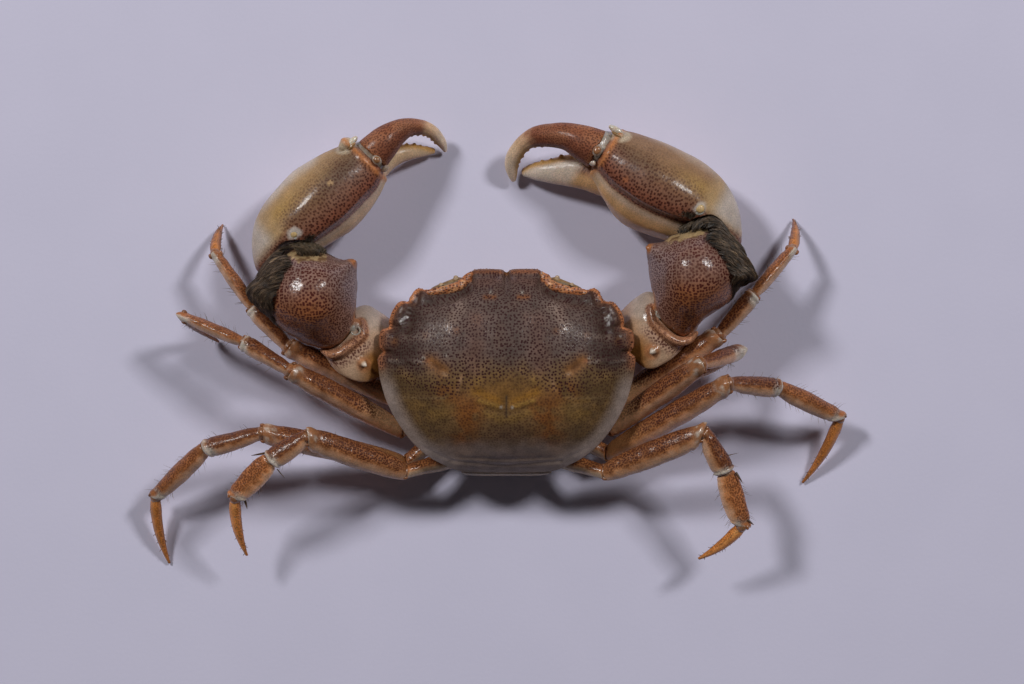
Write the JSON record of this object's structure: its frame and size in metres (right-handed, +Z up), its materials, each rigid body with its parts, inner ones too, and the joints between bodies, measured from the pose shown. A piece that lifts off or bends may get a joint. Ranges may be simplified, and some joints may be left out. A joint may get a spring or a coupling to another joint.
{
  "type": "preserved crab specimen",
  "caption": "A preserved freshwater crab lying on its belly, claws bowed in front, legs bent and set, with a dotted brown back and dark fur pads on the wrists.",
  "frame": {"origin": "on the midline of the body, on the flat underside of the tail flap, where the crab rests", "axes": "+X to the crab's right, +Y the way the crab faces, +Z up from the surface it rests on"},
  "size_m": [0.0836, 0.0535, 0.0153],
  "materials": {
    "carapace_shell": "glossy hard shell, brown-grey with small dark dots, paler at the rear",
    "underside_shell": "glossy cream shell",
    "eye": "glossy black eye on an olive stalk",
    "pale_claw_shell": "glossy cream to orange-brown shell",
    "spotted_claw_shell": "glossy brown shell with dark red dots, with a pad of dark fur on the wrist",
    "finger_shell": "glossy red-brown shell, cream at the tip",
    "leg_shell": "glossy orange-brown shell with a darker net pattern above"
  },
  "bodies": {
    "root": {"carapace": "carapace_shell", "sternum": "underside_shell", "tail_flap": "underside_shell", "mouth_plate_left": "underside_shell", "mouth_plate_right": "underside_shell", "eye_left": "eye", "eye_right": "eye", "claw_hip_left": "pale_claw_shell", "claw_hip_right": "pale_claw_shell", "claw_arm_left": "pale_claw_shell", "claw_arm_right": "pale_claw_shell", "claw_wrist_left": "spotted_claw_shell", "claw_wrist_right": "spotted_claw_shell", "claw_palm_left": "spotted_claw_shell", "claw_palm_right": "spotted_claw_shell", "claw_finger_left": "finger_shell", "claw_finger_right": "finger_shell", "leg_1_left_hip": "leg_shell", "leg_1_left_merus": "leg_shell", "leg_1_left_carpus": "leg_shell", "leg_1_left_propodus": "leg_shell", "leg_1_left_dactyl": "leg_shell", "leg_1_right_hip": "leg_shell", "leg_1_right_merus": "leg_shell", "leg_1_right_carpus": "leg_shell", "leg_1_right_propodus": "leg_shell", "leg_1_right_dactyl": "leg_shell", "leg_2_left_hip": "leg_shell", "leg_2_left_merus": "leg_shell", "leg_2_left_carpus": "leg_shell", "leg_2_left_propodus": "leg_shell", "leg_2_left_dactyl": "leg_shell", "leg_2_right_hip": "leg_shell", "leg_2_right_merus": "leg_shell", "leg_2_right_carpus": "leg_shell", "leg_2_right_propodus": "leg_shell", "leg_2_right_dactyl": "leg_shell", "leg_3_left_hip": "leg_shell", "leg_3_left_merus": "leg_shell", "leg_3_left_carpus": "leg_shell", "leg_3_left_propodus": "leg_shell", "leg_3_left_dactyl": "leg_shell", "leg_3_right_hip": "leg_shell", "leg_3_right_merus": "leg_shell", "leg_3_right_carpus": "leg_shell", "leg_3_right_propodus": "leg_shell", "leg_3_right_dactyl": "leg_shell", "leg_4_left_hip": "leg_shell", "leg_4_left_merus": "leg_shell", "leg_4_left_carpus": "leg_shell", "leg_4_left_propodus": "leg_shell", "leg_4_left_dactyl": "leg_shell", "leg_4_right_hip": "leg_shell", "leg_4_right_merus": "leg_shell", "leg_4_right_carpus": "leg_shell", "leg_4_right_propodus": "leg_shell", "leg_4_right_dactyl": "leg_shell"}
  },
  "joints": []
}
